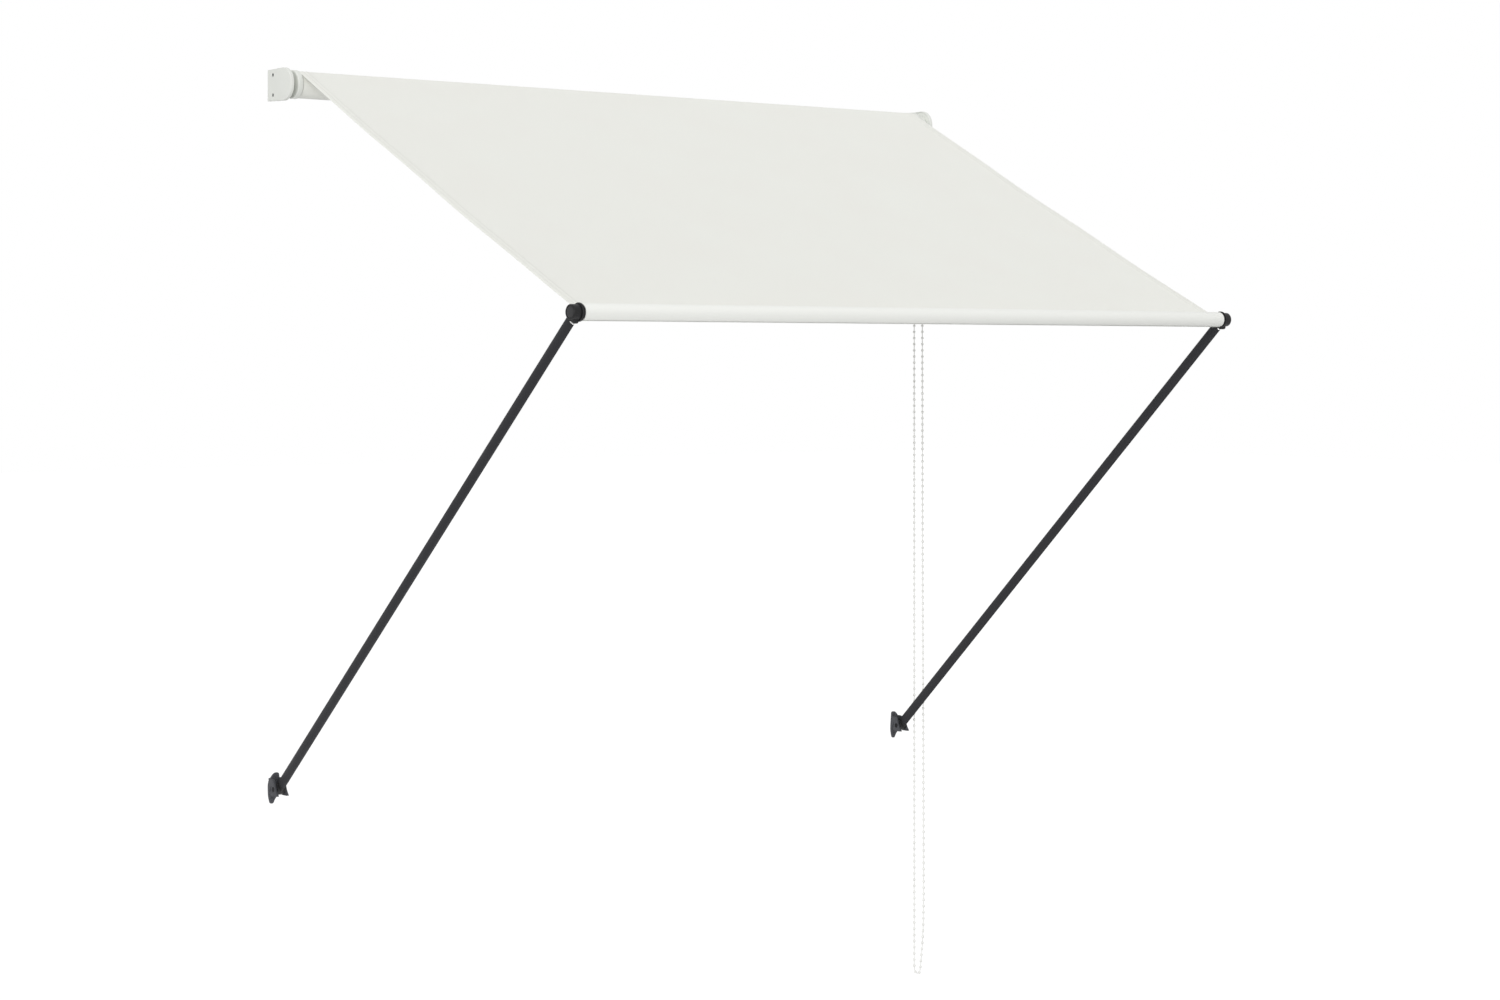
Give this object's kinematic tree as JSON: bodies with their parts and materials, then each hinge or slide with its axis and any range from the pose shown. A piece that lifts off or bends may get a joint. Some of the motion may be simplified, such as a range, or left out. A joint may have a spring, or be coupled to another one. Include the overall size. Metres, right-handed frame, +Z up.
{
  "type": "canvas awning",
  "caption": "Drop-arm window awning with its frame: cloth let out from a wall roller over a round front bar, held by tube arms that pivot on wall brackets, worked by a bead chain.",
  "frame": {"origin": "on the wall plane, midway between the arms' planes and level with the roller's axis", "axes": "+X along the roller towards the chain's end, +Y into the wall, +Z up; the awning stands out towards -Y"},
  "size_m": [1.522, 0.9111, 1.7767],
  "materials": {
    "awning_cloth": "matte",
    "bar_white_paint": "satin",
    "bracket_plastic": "satin",
    "galvanised_tube": "satin",
    "zinc_steel": "satin",
    "black_oxide_steel": "satin",
    "chain_white": "satin",
    "arm_anthracite_paint": "satin",
    "foot_dark_grey": "satin",
    "black_plastic": "satin",
    "cap_dark_grey": "satin",
    "ring_bright": "satin"
  },
  "bodies": {
    "wall_frame": {"bracket_base_left": "bracket_plastic", "bracket_base_right": "bracket_plastic", "bracket_cover_left": "bracket_plastic", "bracket_cover_right": "bracket_plastic", "cover_screw_left_upper": "zinc_steel", "cover_screw_left_lower": "zinc_steel", "cover_screw_right_upper": "zinc_steel", "cover_screw_right_lower": "zinc_steel", "idle_pin": "zinc_steel", "clutch_core": "zinc_steel", "clutch_spring": "zinc_steel", "chain_housing": "bracket_plastic", "chain_housing_lid": "bracket_plastic", "bead_chain": "chain_white", "chain_over_wheel": "chain_white", "foot_bracket_left": "foot_dark_grey", "foot_bracket_right": "foot_dark_grey", "pivot_pin_left": "black_oxide_steel", "pivot_pin_right": "black_oxide_steel", "canopy": "awning_cloth"},
    "roller": {"roller_tube": "galvanised_tube", "cloth_roll": "awning_cloth", "idle_plug": "bracket_plastic", "drive_plug": "bracket_plastic", "chain_wheel": "bracket_plastic"},
    "left_arm": {"arm_tube_left": "arm_anthracite_paint", "arm_ring_left": "ring_bright", "arm_head_left": "black_plastic", "head_cap_left": "cap_dark_grey", "arm_foot_left": "black_plastic"},
    "right_arm": {"arm_tube_right": "arm_anthracite_paint", "arm_ring_right": "ring_bright", "arm_head_right": "black_plastic", "head_cap_right": "cap_dark_grey", "arm_foot_right": "black_plastic"},
    "front_bar": {"front_bar": "bar_white_paint", "welt_rod": "chain_white", "bar_plug_left": "black_plastic", "bar_plug_right": "black_plastic", "stub_washer_left": "zinc_steel", "stub_washer_right": "zinc_steel", "stub_screw_left": "zinc_steel", "stub_screw_right": "zinc_steel"}
  },
  "joints": [
    {"name": "left_arm_swing", "type": "hinge", "parent": "wall_frame", "child": "left_arm", "pos_m": [-0.738, -0.0185, -1.235], "axis": [1, 0, 0], "range_deg": [-43.7, 6.5], "deforming": ["canopy"]},
    {"name": "right_arm_swing", "type": "hinge", "parent": "wall_frame", "child": "right_arm", "pos_m": [0.738, -0.0185, -1.235], "axis": [1, 0, 0], "range_deg": [-43.7, 6.5]},
    {"name": "bar_turn", "type": "hinge", "parent": "left_arm", "child": "front_bar", "pos_m": [-0.738, -0.89619, -0.4079], "axis": [1, 0, 0], "range_deg": [-6.5, 43.7]},
    {"name": "roller_turn", "type": "hinge", "parent": "wall_frame", "child": "roller", "pos_m": [0, -0.05, 0], "axis": [1, 0, 0], "range_deg": [-2072, 308]}
  ],
  "couplings": [
    {"joint": "right_arm_swing", "follows": "left_arm_swing", "ratio": 1},
    {"joint": "bar_turn", "follows": "left_arm_swing", "ratio": -1},
    {"joint": "roller_turn", "follows": "left_arm_swing", "ratio": 47.3}
  ]
}
